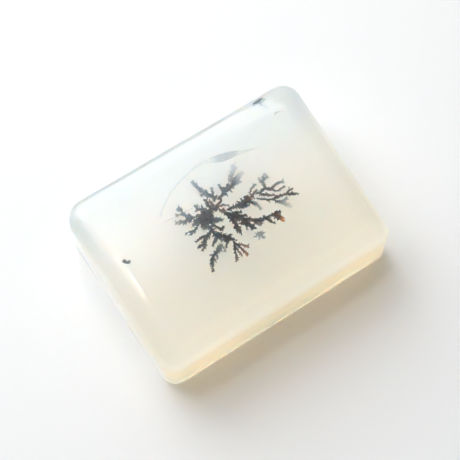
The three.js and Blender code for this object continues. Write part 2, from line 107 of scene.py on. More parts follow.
# Each limb of the growth has the depth of its root below the top, and its branches. A branch has
# the depth of its tip, whether it is a leafy fern or a bare twig, and its points from root to
# tip as (x, y, half width). All lengths in these tables are in millimetres.
LIMBS = {
    "dendrite_heart": (1, [
        (0.95, FERN, [
            (-2.62, 1.28, 0.2), (-2.3, 1.5, 0.3), (-1.8, 1.38, 0.42), (-1.3, 1.55, 0.37),
            (-0.8, 1.68, 0.29), (-0.42, 1.62, 0.22),
        ]),
        (1.2, TWIG, [(-2.1, 1.3, 0.25), (-2.55, 1.3, 0.26), (-2.9, 1.36, 0.13)]),
        (0.95, TWIG, [(-1.6, 1.6, 0.2), (-1.92, 1.78, 0.17), (-2.15, 1.9, 0.08)]),
        (1.5, TWIG, [(-1.85, 1.0, 0.3), (-2.1, 0.76, 0.27), (-2.28, 0.62, 0.13)]),
        (1.45, TWIG, [(-1.7, 0.85, 0.25), (-1.85, 0.5, 0.2), (-1.82, 0.25, 0.1)]),
        (1.1, TWIG, [(-1.4, 1.05, 0.2), (-1.34, 0.78, 0.15), (-1.15, 0.52, 0.07)]),
        (1.05, TWIG, [(-2.25, 1.05, 0.24), (-1.85, 0.95, 0.38), (-1.5, 0.85, 0.3)]),
        (0.75, FERN, [(-0.76, 1.85, 0.16), (-0.7, 2.35, 0.12), (-0.68, 2.8, 0.08)]),
        (0.95, TWIG, [(-1.25, 1.8, 0.2), (-1.3, 2.2, 0.12), (-1.3, 2.48, 0.08)]),
        (1.2, FERN, [
            (-1.3, 1.75, 0.22), (-1.55, 2.2, 0.16), (-1.78, 2.4, 0.2), (-1.7, 2.72, 0.08),
        ]),
        (0.7, TWIG, [(-0.5, 1.72, 0.18), (0, 1.8, 0.15), (0.5, 1.9, 0.12)]),
        (1.1, TWIG, [(-0.45, 1.6, 0.16), (0.15, 1.58, 0.1), (0.52, 1.42, 0.1), (0.75, 1.2, 0.07)]),
        (1.2, TWIG, [
            (-1.3, 1.2, 0.3), (-0.95, 0.74, 0.22), (-0.6, 0.53, 0.2), (-0.42, 0.38, 0.1),
        ]),
        (0.75, TWIG, [(-0.45, 1.8, 0.16), (-0.4, 2.12, 0.13), (-0.44, 2.48, 0.09)]),
    ]),
    "dendrite_north_limb": (1.05, [
        (1.4, FERN, [
            (-0.16, 2.2, 0.15), (0.05, 2.52, 0.22), (-0.2, 2.95, 0.18), (-0.42, 3.35, 0.16),
            (-0.56, 3.8, 0.12), (-0.66, 4.3, 0.13), (-0.74, 4.82, 0.13),
        ]),
        (1.2, TWIG, [(-0.3, 3.3, 0.16), (-0.78, 3.36, 0.1)]),
        (1.2, TWIG, [(-0.35, 3.2, 0.14), (-0.2, 3.5, 0.09)]),
        (1.2, TWIG, [(0.05, 2.6, 0.16), (0.24, 3, 0.1), (0.38, 3.42, 0.06)]),
    ]),
    "dendrite_northeast_limb": (0.85, [
        (1.15, FERN, [
            (0.2, 2.2, 0.1), (0.62, 2.27, 0.11), (0.95, 2.4, 0.19), (1.25, 2.57, 0.28),
            (1.62, 2.56, 0.36), (1.92, 2.62, 0.18),
        ]),
        (2.1, FERN, [
            (1.92, 2.62, 0.16), (2.36, 2.76, 0.26), (2.34, 3.2, 0.16), (2.66, 3.6, 0.15),
            (3.06, 3.92, 0.2), (3.2, 4.2, 0.12),
        ]),
        (0.9, TWIG, [(0.98, 2.4, 0.14), (1.2, 2.14, 0.1)]),
        (1.1, TWIG, [(1.2, 2.65, 0.2), (1.12, 3.05, 0.14), (1.08, 3.34, 0.06)]),
        (2.1, FERN, [
            (2.35, 2.82, 0.2), (2.74, 2.96, 0.16), (3.1, 3.08, 0.16), (3.5, 3.18, 0.1),
        ]),
        (1.9, TWIG, [(2.4, 2.74, 0.22), (2.8, 2.66, 0.2)]),
    ]),
    "dendrite_west_limb": (1.05, [
        (1.2, FERN, [
            (-2.38, 1.85, 0.2), (-2.7, 2.08, 0.26), (-2.98, 2.5, 0.11), (-3.04, 2.95, 0.09),
            (-3.16, 3.38, 0.12),
        ]),
        (1, TWIG, [(-2.95, 2.62, 0.08), (-3.3, 2.78, 0.06), (-3.62, 2.9, 0.12)]),
        (1.15, TWIG, [(-3.04, 2.95, 0.07), (-2.92, 3.26, 0.06)]),
        (1.35, FERN, [
            (-2.66, 1.95, 0.22), (-3.15, 1.95, 0.14), (-3.55, 2.1, 0.12), (-3.94, 2.34, 0.13),
        ]),
    ]),
    "dendrite_southwest_limb": (0.95, [
        (0.8, TWIG, [
            (-2.62, 1.02, 0.12), (-2.9, 0.9, 0.12), (-3.25, 0.87, 0.12), (-3.52, 0.98, 0.07),
            (-3.86, 1.02, 0.07),
        ]),
        (0.8, TWIG, [(-3.2, 0.84, 0.1), (-3.56, 0.7, 0.1)]),
        (0.85, TWIG, [(-3, 0.88, 0.1), (-3.06, 0.68, 0.08)]),
    ]),
    "dendrite_south_trunk": (0.95, [
        (0.6, FERN, [
            (-1.62, 0.5, 0.17), (-1.68, 0.1, 0.15), (-1.7, -0.3, 0.15), (-1.66, -0.68, 0.24),
            (-1.35, -0.78, 0.18), (-1.08, -0.98, 0.17), (-0.95, -1.28, 0.26),
            (-0.88, -1.58, 0.22),
        ]),
        (0.85, TWIG, [(-1.7, -0.8, 0.18), (-2.05, -0.92, 0.13), (-2.42, -1.18, 0.08)]),
        (0.55, TWIG, [
            (-1.72, 0.05, 0.13), (-2.2, -0.14, 0.12), (-2.5, -0.04, 0.13), (-2.95, -0.05, 0.13),
            (-3.42, -0.1, 0.06),
        ]),
        (0.7, TWIG, [
            (-2.38, -0.14, 0.16), (-2.72, -0.44, 0.2), (-3.02, -0.68, 0.19), (-3.55, -0.6, 0.1),
        ]),
        (0.75, TWIG, [(-2.95, -0.6, 0.14), (-3.2, -0.95, 0.13), (-3.4, -1.08, 0.06)]),
        (0.62, TWIG, [(-2.22, -0.16, 0.1), (-2.27, -0.44, 0.08)]),
        (0.55, TWIG, [
            (-1.42, 0.52, 0.12), (-1.22, 0.14, 0.12), (-1.08, -0.14, 0.12), (-0.92, -0.36, 0.17),
            (-0.74, -0.22, 0.1),
        ]),
        (1.2, TWIG, [(-1.5, -0.7, 0.18), (-1.54, -1, 0.15), (-1.46, -1.26, 0.1)]),
        (0.8, TWIG, [(-1.1, -1.02, 0.22), (-1.18, -1.3, 0.2), (-1.14, -1.5, 0.1)]),
        (0.7, TWIG, [(-1.62, -0.5, 0.16), (-1.38, -0.46, 0.13), (-1.22, -0.56, 0.07)]),
        (0.6, TWIG, [(-0.95, -1.26, 0.2), (-0.64, -1.26, 0.14), (-0.5, -1.2, 0.07)]),
        (0.55, TWIG, [(-0.85, -1.5, 0.16), (-0.5, -1.68, 0.09), (-0.42, -1.88, 0.06)]),
        (0.6, TWIG, [(-1.1, -1.45, 0.16), (-1.32, -1.75, 0.1), (-1.45, -1.98, 0.06)]),
    ]),
    "dendrite_south_fern": (1.55, [
        (0.85, FERN, [
            (-1.62, -1.55, 0.1), (-1.85, -1.58, 0.15), (-2.15, -1.72, 0.15), (-2.5, -1.9, 0.15),
            (-2.88, -1.98, 0.15),
        ]),
        (0.5, FERN, [
            (-2.88, -1.98, 0.14), (-3.15, -2.32, 0.12), (-3.35, -2.62, 0.09), (-3.5, -2.9, 0.07),
            (-3.6, -3.18, 0.07),
        ]),
        (1.35, TWIG, [(-2, -1.68, 0.1), (-2.08, -2.08, 0.06)]),
        (1.2, TWIG, [(-2.6, -1.98, 0.12), (-2.62, -2.4, 0.07)]),
        (1.1, TWIG, [(-3.05, -2.25, 0.1), (-2.96, -2.66, 0.05)]),
        (1.5, TWIG, [(-1.72, -1.66, 0.09), (-1.66, -2, 0.08), (-1.8, -2.2, 0.05)]),
    ]),
    "dendrite_brown_fan": (0.58, [
        (0.6, TWIG, [
            (-0.62, -1.82, 0.16), (-0.74, -2.1, 0.11), (-0.9, -2.4, 0.09), (-1.04, -2.76, 0.1),
            (-1.22, -3.2, 0.13), (-1.4, -3.52, 0.08),
        ]),
        (0.62, TWIG, [(-0.8, -2.2, 0.07), (-0.8, -2.8, 0.08), (-0.71, -3.36, 0.07)]),
        (0.55, TWIG, [
            (-0.7, -2, 0.1), (-0.54, -2.3, 0.1), (-0.45, -2.75, 0.1), (-0.36, -3.12, 0.12),
            (-0.28, -3.52, 0.07),
        ]),
        (0.5, TWIG, [
            (-0.54, -2.32, 0.1), (-0.24, -2.44, 0.1), (-0.06, -2.72, 0.11), (0.17, -2.9, 0.15),
        ]),
    ]),
    "dendrite_east_heart": (0.8, [
        (0.72, TWIG, [
            (-0.16, 1.38, 0.14), (-0.02, 1.08, 0.15), (0.14, 0.83, 0.19), (0.3, 0.53, 0.3),
            (0.58, 0.18, 0.34), (0.93, -0.04, 0.3), (1.15, -0.38, 0.27), (1.14, -0.82, 0.31),
            (1.32, -1.22, 0.25), (1.48, -1.58, 0.21), (1.54, -1.84, 0.15),
        ]),
        (0.8, TWIG, [(0.6, 0, 0.2), (0.74, -0.26, 0.16), (0.84, -0.5, 0.1)]),
        (0.6, TWIG, [(1.15, -0.6, 0.2), (1.42, -0.86, 0.16), (1.62, -1.02, 0.08)]),
        (0.6, FERN, [
            (0.4, 0.25, 0.26), (0.3, -0.1, 0.21), (0.36, -0.45, 0.16), (0.32, -0.85, 0.22),
            (0.26, -1.2, 0.14), (0.36, -1.5, 0.09),
        ]),
        (0.6, TWIG, [(0.95, 0.1, 0.16), (1.38, 0.15, 0.1)]),
        (0.52, TWIG, [(1.2, -0.28, 0.18), (1.62, -0.38, 0.13)]),
        (0.7, TWIG, [(1, -0.72, 0.2), (0.78, -0.82, 0.12)]),
        (0.8, TWIG, [(1.1, -1.1, 0.16), (0.98, -1.48, 0.06)]),
        (0.75, TWIG, [(0.16, 0.9, 0.1), (0.22, 1.22, 0.06)]),
        (0.72, TWIG, [(0.5, 0.4, 0.2), (0.85, 0.32, 0.14), (1.02, 0.22, 0.1)]),
    ]),
    "dendrite_east_limb": (0.78, [
        (0.95, FERN, [
            (0.4, 0.94, 0.12), (0.72, 0.86, 0.14), (1.05, 0.84, 0.13), (1.4, 0.72, 0.18),
            (1.85, 0.66, 0.36), (2.3, 0.76, 0.33), (2.65, 0.82, 0.19), (3.1, 0.76, 0.14),
        ]),
        (0.9, TWIG, [(1.6, 0.7, 0.16), (1.74, 0.42, 0.16), (2.08, 0.34, 0.1)]),
        (1.6, TWIG, [(2.55, 0.55, 0.12), (2.72, 0.25, 0.15), (2.84, -0.02, 0.1)]),
        (0.8, TWIG, [(1.9, 0.6, 0.2), (1.98, 0.28, 0.1)]),
        (1, TWIG, [(2.4, 0.65, 0.2), (2.62, 0.35, 0.13), (2.74, 0, 0.09)]),
        (1.65, TWIG, [
            (2.66, 0.3, 0.08), (2.92, 0.08, 0.12), (3.0, -0.26, 0.11), (3.04, -0.6, 0.06),
        ]),
        (1.25, TWIG, [(2.95, 0.88, 0.09), (3.02, 1.2, 0.08), (3.4, 1.46, 0.08), (3.8, 1.6, 0.07)]),
        (0.85, TWIG, [(1.65, 0.85, 0.12), (1.65, 1.12, 0.07)]),
        (0.88, TWIG, [(2.3, 0.9, 0.16), (2.35, 1.12, 0.08)]),
        (1.1, TWIG, [(3, 0.88, 0.1), (3.35, 1.02, 0.1), (3.68, 1.08, 0.08)]),
    ]),
    "dendrite_far_east_limb": (0.85, [
        (0.55, TWIG, [
            (3.2, 0.48, 0.07), (3.48, 0.2, 0.08), (3.76, -0.03, 0.1), (4.05, -0.25, 0.12),
            (4.45, -0.44, 0.12), (4.9, -0.47, 0.12), (5.3, -0.54, 0.12), (5.66, -0.63, 0.12),
            (6, -0.54, 0.09), (6.38, -0.49, 0.06),
        ]),
        (0.6, TWIG, [
            (5.7, -0.62, 0.1), (6.04, -0.88, 0.14), (6.3, -1, 0.1), (6.52, -1.2, 0.06),
        ]),
        (0.55, TWIG, [(6.08, -0.46, 0.05), (6.18, -0.26, 0.045)]),
        (0.8, TWIG, [(3.92, -0.14, 0.07), (4.02, -0.46, 0.06)]),
        (0.9, FERN, [
            (4.88, -0.36, 0.07), (4.6, -0.14, 0.06), (4.28, 0.1, 0.06), (4.02, 0.38, 0.09),
            (3.78, 0.6, 0.13), (3.56, 0.84, 0.07),
        ]),
        (1.1, TWIG, [
            (3.8, 0.68, 0.1), (4.15, 0.86, 0.15), (4.52, 0.7, 0.12), (4.82, 0.42, 0.12),
            (5.02, 0.14, 0.11), (5.24, 0.03, 0.09), (5.58, 0.02, 0.09), (5.94, 0.06, 0.07),
        ]),
        (1.4, FERN, [
            (4.84, 0.44, 0.08), (5.2, 0.6, 0.08), (5.62, 0.63, 0.085), (6.08, 0.55, 0.06),
        ]),
        (1.5, FERN, [
            (4.44, 0.84, 0.09), (4.5, 1.26, 0.09), (4.72, 1.6, 0.1), (5.14, 1.66, 0.06),
        ]),
        (1.7, FERN, [(4.52, 1.34, 0.08), (4.4, 1.62, 0.06), (4.46, 1.9, 0.04)]),
        (1.7, FERN, [(4.72, 1.58, 0.08), (4.84, 1.86, 0.05), (5.08, 1.98, 0.04)]),
        (2.1, FERN, [
            (4.42, -0.46, 0.08), (4.6, -0.76, 0.1), (4.82, -1, 0.1), (5.02, -1.2, 0.11),
            (5.2, -1.52, 0.1), (5.44, -1.86, 0.06),
        ]),
        (1.05, TWIG, [(5, -0.98, 0.1), (5.48, -1, 0.1)]),
    ]),
    "dendrite_southeast_limb": (0.7, [
        (0.48, FERN, [
            (1.52, -0.66, 0.09), (1.78, -0.92, 0.12), (2, -1.16, 0.11), (2.3, -1.36, 0.14),
            (2.62, -1.46, 0.11), (2.9, -1.6, 0.12), (3.15, -1.6, 0.08), (3.48, -1.6, 0.11),
            (3.78, -1.7, 0.24), (4.1, -1.62, 0.14), (4.28, -1.78, 0.08),
        ]),
        (0.6, TWIG, [(2.78, -1.5, 0.14), (2.87, -1.22, 0.12)]),
        (1.3, TWIG, [(1.9, -1.2, 0.12), (2, -1.52, 0.15), (2.16, -1.8, 0.08)]),
        (0.55, TWIG, [(2.95, -1.66, 0.11), (3.1, -2.02, 0.09), (3.34, -2.38, 0.07)]),
        (0.46, TWIG, [
            (3.76, -1.72, 0.24), (3.8, -2.02, 0.18), (3.94, -2.36, 0.09), (4.12, -2.64, 0.05),
        ]),
        (0.46, TWIG, [(3.92, -1.85, 0.15), (4.08, -2.14, 0.09), (4.26, -2.48, 0.05)]),
        (0.75, TWIG, [(2.25, -1.42, 0.14), (2.32, -1.78, 0.08)]),
    ]),
    "dendrite_lone_tuft": (1.4, [
        (1.5, FERN, [
            (1.62, -2.22, 0.06), (1.66, -2.46, 0.11), (1.74, -2.74, 0.08), (1.82, -3, 0.04),
        ]),
        (1.5, FERN, [(1.64, -2.46, 0.08), (1.42, -2.42, 0.07), (1.24, -2.5, 0.03)]),
        (1.5, TWIG, [(1.66, -2.52, 0.08), (1.46, -2.7, 0.06), (1.36, -2.9, 0.03)]),
        (1.5, FERN, [(1.68, -2.46, 0.07), (1.92, -2.5, 0.06), (2.08, -2.62, 0.03)]),
    ]),
}

# The small two lobed grain near the left end, in the same way, and the step along it
GRAIN_STEP = 0.08
GRAIN = (0.62, [
    (0.62, TWIG, [
        (-9.76, 1.9, 0.13), (-9.7, 1.78, 0.22), (-9.6, 1.54, 0.13), (-9.46, 1.42, 0.12),
        (-9.36, 1.5, 0.17), (-9.3, 1.62, 0.13),
    ]),
])

# An old crack inside the stone: its depth below the top, the step and the radius of its line, and
# half the thickness of the grey film in its open part. Then, as (x, y), its line from the left
# end, and the back edge and the near edge of the open part.
CRACK_DEPTH = 0.8
CRACK_STEP = 0.2
CRACK_RADIUS = 0.15
FILM_HALF = 0.006
CRACK_LINE = (
    (-4.9, 3.45), (-4.6, 3.85), (-3.66, 4.58), (-2.3, 5.28), (-0.5, 5.78), (1, 6.02),
)
CRACK_BACK = ((1, 6.02), (2.01, 5.94), (3.42, 5.57), (4.71, 5.01), (6.26, 4.32))
CRACK_FRONT = (
    (6.26, 4.32), (5.65, 4.45), (4.51, 4.69), (3.65, 4.86), (2.71, 4.97), (1.7, 5.4), (1, 6.02),
)

# The crack runs round this centre at this distance, and the stone within it is flushed
CRACK_CENTRE = (1.2, -2.99)
CRACK_AWAY = 8.8

# Small marks inside the stone: the finish of each and its strokes, as (x, y, level, radius)
MARKS = {
    "edge_inclusion": ("slate", [
        [(7.95, 8.2, 5.9, 0.1), (8.25, 8.18, 5.85, 0.17), (8.6, 8.2, 5.85, 0.16),
         (8.9, 8.26, 5.85, 0.09)],
        [(8.35, 8.12, 5.8, 0.13), (8.52, 7.85, 5.7, 0.09), (8.5, 7.6, 5.6, 0.05)],
    ]),
    "edge_inclusion_smoke": ("smoke", [
        [(7.8, 8.1, 5.8, 0.18), (8.3, 8.05, 5.75, 0.27), (8.7, 8, 5.7, 0.26),
         (9.1, 8.05, 5.7, 0.16)],
        [(8.5, 7.9, 5.7, 0.24), (8.6, 7.5, 5.6, 0.2), (8.85, 7.2, 5.5, 0.14)],
    ]),
    "pale_mark": ("smoke", [
        [(8.88, 6.22, 5.9, 0.05), (9.02, 6.36, 5.9, 0.08), (9.28, 6.38, 5.9, 0.08),
         (9.6, 6.18, 5.9, 0.05)],
    ]),
    "red_speck": ("red", [[(0.29, 4.57, 5.7, 0.07), (0.34, 4.55, 5.7, 0.07)]]),
    "red_hairline": ("red", [
        [(-4.88, 3.01, 5.75, 0.022), (-3.9, 2.86, 5.75, 0.026), (-1.96, 2.73, 5.75, 0.024)],
    ]),
}

# Where the window and the warm room lie, as directions from the stone
WINDOW_AIM = (0, 0.99, 0.14)
ROOM_AIM = (0.2, -0.91, 0.355)

# The brighter fields overhead that the polish mirrors. Each fades in and out across the sky's
# directions in X and then in Y, as the start and end of its rise and of its fall.
FIELDS = {
    "patch": (((-0.3, -0.1), (0.25, 0.4)), ((0.235, 0.262), (0.4, 0.5))),
    "rim": (((0, 0.06), (0.26, 0.34)), ((0.4, 0.5), (0.5, 0.56))),
    "far": (((0.08, 0.16), (0.26, 0.34)), ((0.285, 0.315), (0.36, 0.44))),
    "left": (((-0.75, -0.5), (-0.25, -0.1)), ((0.25, 0.32), (0.35, 0.5))),
    "streak": (((-0.01, 0.01), (0.065, 0.085)), ((0.257, 0.261), (0.27, 0.274))),
}

# The camera: its turn round the stone, its angle above the floor, its distance from the point that
# it looks at, and its focal length in pixels of a picture this many pixels wide
SENSOR_WIDTH = 36
VIEW_TURN = math.radians(-32.52)
VIEW_HEIGHT = math.radians(71.93)
VIEW_DISTANCE = 140
VIEW_TARGET = (0.15, 0, 3.25)
FOCAL_PIXELS = 1555.3
PICTURE_PIXELS = 460


def colour(name, description, default):
    """A colour setting."""
    return FloatVectorProperty(
        name=name, description=description, default=default, subtype="COLOR", min=0, max=1
    )


def amount(name, description, default, **more):
    """A number setting that can't be negative."""
    return FloatProperty(name=name, description=description, default=default, min=0, **more)


def length(name, description, default, **more):
    """A length setting."""
    return amount(name, description, default, unit="LENGTH", **more)


class StoneSettings(bpy.types.PropertyGroup):
    """Sizes and finish of the stone"""

    thickness: length(
        "Thickness",
        "Height of the tablet from its base to its flat top",
        CAD_BOX[1][2] - CAD_BOX[0][2],
    )
    shoulder_width: length(
        "Shoulder width", "How far in from the side the rounded edge round the top begins", 2.2 * MM
    )
    shoulder_height: length(
        "Shoulder height", "How far down the side the rounded edge round the top reaches", 1.2 * MM
    )
    front_droop: FloatProperty(
        name="Front droop",
        description="How many times further down the rounded edge reaches along the front",
        default=1.6,
        min=1,
    )
    base_round: length("Base edge", "Radius of the rounded edge round the base", 0.01 * MM)
    # The cool and warm tones paint the light's warming from the lit back to the front of the stone
    cool: colour("Cool tone", "Colour of the clearer stone along the back", (0.975, 0.983, 1.0))
    warm: colour("Warm tone", "Colour of the honey stone along the front", (0.97, 0.962, 0.927))
    # Painted glow: the front side is tinted amber for the warm light that has come through the
    # stone and leaves it there
    painted_front_glow: colour(
        "Amber tone", "Colour of the front side, where the light comes out", (0.955, 0.855, 0.59)
    )
    flush: colour("Flush tone", "Colour of the stone within the old crack", (0.965, 0.935, 0.935))
    milk: amount("Milkiness", "How strongly the stone scatters light, for each metre", 820)
    milk_tone: colour("Milk tone", "Colour of the scattered light", (0.62, 0.81, 1.0))
    stain: amount("Stain", "How strongly the stone takes up light, for each metre", 26)
    stain_tone: colour(
        "Stain tone", "Colour of the light that the stone lets through", (1.0, 0.94, 0.76)
    )


class GrowthSettings(bpy.types.PropertyGroup):
    """Detail and colours of the growth"""

    detail: length("Detail", "Size of the smallest lumps of the growth", 0.028 * MM, precision=6)
    seed: IntProperty(
        name="Seed",
        description="Another number gives the branches other lobes",
        default=7,
        min=0,
    )
    shallow: colour(
        "Near the top", "Colour of the growth just under the polish", (0.03, 0.017, 0.012)
    )
    middle: colour("Middle", "Colour of the growth a millimetre down", (0.028, 0.027, 0.03))
    # The deep tone is a painted veil, the pale grey that light scattered in the milk lends the
    # deepest growth
    deep: colour("Deep", "Colour of the deepest growth", (0.15, 0.12, 0.11))
    rust: colour("Rust", "Colour of the iron stained twigs", (0.16, 0.042, 0.014))
    flame: colour("Flame", "Colour of the orange tips of the front limb", (0.6, 0.2, 0.02))


class StageSettings(bpy.types.PropertyGroup):
    """Floor and lights of the studio"""

    floor: colour("Floor", "Colour of the floor", (0.72, 0.72, 0.72))
    key: amount(
        "Key light", "Power of the soft light over the back of the stone", 0.228, subtype="POWER"
    )
    key_size: length("Key size", "Width of the soft light", 130 * MM)
    key_distance: length("Key distance", "How far off the soft light stands", 165 * MM)
    key_height: FloatProperty(
        name="Key height",
        description="Angle of the soft light above the floor",
        default=math.radians(37),
        subtype="ANGLE",
    )
    key_turn: FloatProperty(
        name="Key turn",
        description="Angle of the soft light from straight behind towards the left",
        default=math.radians(7),
        subtype="ANGLE",
    )
    key_tone: colour(
        "Key tone", "Colour of the soft light and of the white ceiling", (1.0, 0.968, 0.957)
    )
    window: amount("Window", "Brightness of the wide soft window behind the stone", 2.7)
    window_tone: colour("Window tone", "Colour of the window", (0.67, 0.855, 1.0))
    room: amount("Room light", "Brightness of the room in front of the stone", 0.66)
    ceiling: amount("Ceiling", "Brightness of the white ceiling overhead", 0.38)
    room_tone: colour("Room tone", "Colour of the room", (1.0, 0.74, 0.45))
    glow: amount("Ceiling glow", "Extra brightness of the ceiling behind the stone", 3.65)
    left_glow: amount("Left glow", "Extra brightness of the ceiling to the left of the stone", 3.5)
    far_glow: amount(
        "Far glow",
        "Extra brightness of the part of the window that lights the right of the back",
        1.6,
    )
    streak: amount(
        "Streak", "Brightness of the narrow gap that the left shoulder mirrors as a streak", 14
    )


class Value:
    """The output of a shader node, which Python's operators turn into further nodes."""

    def __init__(self, shader, socket):
        self.shader = shader
        self.socket = socket

    def __add__(self, other):
        return self.shader.math("ADD", self, other)

    def __radd__(self, other):
        return self.shader.math("ADD", other, self)

    def __sub__(self, other):
        return self.shader.math("SUBTRACT", self, other)

    def __rsub__(self, other):
        return self.shader.math("SUBTRACT", other, self)

    def __mul__(self, other):
        return self.shader.math("MULTIPLY", self, other)

    def __rmul__(self, other):
        return self.shader.math("MULTIPLY", other, self)


class Shader:
    """The nodes of one material or world."""

    def __init__(self, owner):
        owner.use_nodes = True
        self.tree = owner.node_tree
        self.tree.nodes.clear()

    def node(self, kind, settings, inputs, output=0):
        """Adds a node, sets it up and fills its sockets, and gives one of its outputs."""
        node = self.tree.nodes.new(kind)
        for name, value in settings.items():
            setattr(node, name, value)
        for name, value in inputs.items():
            if isinstance(value, Value):
                self.tree.links.new(value.socket, node.inputs[name])
            else:
                node.inputs[name].default_value = value
        if not node.outputs:
            return None
        return Value(self, node.outputs[output])

    def math(self, operation, first, second=0):
        return self.node("ShaderNodeMath", {"operation": operation}, {0: first, 1: second})

    def place(self):
        """The object's own coordinates, in millimetres."""
        metres = self.node("ShaderNodeTexCoord", {}, {}, "Object")
        return self.vector("SCALE", metres, Scale=1 / MM)

    def vector(self, operation, first, second=(0, 0, 0), output=0, **more):
        inputs = {0: first, 1: second, **more}
        return self.node("ShaderNodeVectorMath", {"operation": operation}, inputs, output)

    def parts(self, vector):
        """The X, Y and Z of a vector."""
        node = self.node("ShaderNodeSeparateXYZ", {}, {0: vector}).socket.node
        return [Value(self, socket) for socket in node.outputs]

    def ease(self, value, start, end):
        """Zero up to the start, one from the end, and smooth between them."""
        settings = {"interpolation_type": "SMOOTHSTEP"}
        inputs = {"Value": value, "From Min": start, "From Max": end}
        return self.node("ShaderNodeMapRange", settings, inputs)

    def band(self, value, rise, fall):
        """One between the end of a rise and the start of a fall, and zero outside both."""
        return self.ease(value, *rise) * (1 - self.ease(value, *fall))

    def noise(self, place, scale, detail):
        inputs = {"Vector": place, "Scale": scale, "Detail": detail}
        return self.node("ShaderNodeTexNoise", {}, inputs)

    def blend(self, share, first, second):
        """A colour between two colours, through the colour sockets of a Mix node."""
        inputs = {0: share, 6: paint(first), 7: paint(second)}
        return self.node("ShaderNodeMix", {"data_type": "RGBA"}, inputs, 2)

    def away(self, place, spot):
        """The distance from a spot, in plan."""
        plan = self.vector("MULTIPLY", place, (1, 1, 0))
        return self.vector("DISTANCE", plan, (*spot, 0), "Value")

    def near(self, place, spot, reach):
        """One at a spot, and zero from a given reach outwards, in plan."""
        return 1 - self.ease(self.away(place, spot), 0.35 * reach, reach)

    def bump(self, height, strength, distance):
        inputs = {"Height": height, "Strength": strength, "Distance": distance}
        return self.node("ShaderNodeBump", {}, inputs)

    def surface(self, inputs, **more):
        """Ends a material in a Principled surface with the given inputs, and a volume if any."""
        surface = self.node("ShaderNodeBsdfPrincipled", {}, inputs)
        self.node("ShaderNodeOutputMaterial", {}, {"Surface": surface, **more})


def paint(tone):
    """A colour as a socket takes it."""
    if isinstance(tone, Value):
        return tone
    return (*tone[:3], 1)


def new_finish(name):
    """A new material, its shader and the coordinates that its patterns read."""
    finish = bpy.data.materials.new(name)
    shader = Shader(finish)
    return finish, shader, shader.place()


def stone_finish(look):
    """Clear polish over milky stone, with light painted into its colour: cool along the back and
    honey along the front for light warmed on its way through from the back, and an amber glow
    painted on the front side.
    """
    finish, shader, place = new_finish("milky_agate")
    # Painted light: cool at the back to honey at the front for light warmed on its way through,
    # over a cloud of the stone's own uneven tone
    cloud = shader.noise(place, 0.16, 2)
    slope = shader.vector("DOT_PRODUCT", place, PAINTED_WARMTH_SLOPE, "Value")
    painted_warmth_with_clouds = shader.ease(slope + 0.35 * (cloud - 0.5), -0.75, 0.55)
    tone = shader.blend(painted_warmth_with_clouds, look.cool, look.warm)
    beside, along, level = shader.parts(place)
    depth = TOP - level
    rise, fall = (CRACK_AWAY - 3.2, CRACK_AWAY), (CRACK_AWAY, CRACK_AWAY + 0.15)
    inside = shader.band(shader.away(place, CRACK_CENTRE), rise, fall)
    inside = inside * (1 - shader.ease(beside, 0, 4.5)) * shader.ease(along, 1.5, 4)
    tone = shader.blend(0.5 * inside, tone, look.flush)
    # Painted glow: the front side below the shoulder is tinted amber where light that has come
    # through the stone leaves it
    front = shader.ease(-1 * along, 7.4, 8.7) * shader.ease(depth, 0.6, 3.2)
    tone = shader.blend(front, tone, look.painted_front_glow)
    inputs = {
        "Base Color": tone,
        "Roughness": 0.035 + 0.1 * shader.ease(depth, 0.05, 1.0),
        "IOR": 1.54,
        "Transmission Weight": 1.0,
    }
    clouds = {"Color": paint(look.milk_tone), "Density": look.milk, "Anisotropy": 0.85}
    milk = shader.node("ShaderNodeVolumeScatter", {}, clouds)
    honey = {"Color": paint(look.stain_tone), "Density": look.stain}
    stain = shader.node("ShaderNodeVolumeAbsorption", {}, honey)
    shader.surface(inputs, Volume=shader.node("ShaderNodeAddShader", {}, {0: milk, 1: stain}))
    return finish


def growth_finish(name, look, rusts=(), flames=()):
    """Sooty mineral, brown just under the polish and black lower down, with a painted veil at
    depth: pale grey and faded for the light scattered in the milk above it.
    """
    finish, shader, place = new_finish(name)
    depth = TOP - shader.parts(place)[2]
    grit = shader.noise(place, 6, 3)
    depth = depth + 0.25 * (grit - 0.5)
    tone = shader.blend(shader.ease(depth, 0.5, 0.8), look.shallow, look.middle)
    # Painted veil: deeper growth turns pale grey for the light scattered in the milk in front of it
    tone = shader.blend(shader.ease(depth, VEILED_FROM, 1.8), tone, look.deep)
    for spots, stain in ((rusts, look.rust), (flames, look.flame)):
        for x, y, reach, share in spots:
            tone = shader.blend(shader.near(place, (x, y), reach) * share, tone, stain)
    # The painted veil also fades the deep growth out
    faded = 0.6 * shader.ease(depth, VEILED_FROM, 1.7)
    shader.surface({
        "Base Color": tone,
        "Roughness": 0.55 + 0.3 * grit,
        "Alpha": 1 - faded - 0.2 * shader.ease(depth, 1.7, 2),
        "Normal": shader.bump(grit, 0.4, 0.02 * MM),
    })
    return finish


def haze_finish(name, thin, thick, strength):
    """A faint mark, or a painted haze round deep growth that stands in for its blur through the
    milky stone, uneven in tone and strength.
    """
    finish, shader, place = new_finish(name)
    dust = shader.noise(place, 9, 2)
    shader.surface({
        "Base Color": shader.blend(dust, thin, thick),
        "Roughness": 0.9,
        "Alpha": shader.ease(dust, 0.25, 0.75) * strength,
    })
    return finish


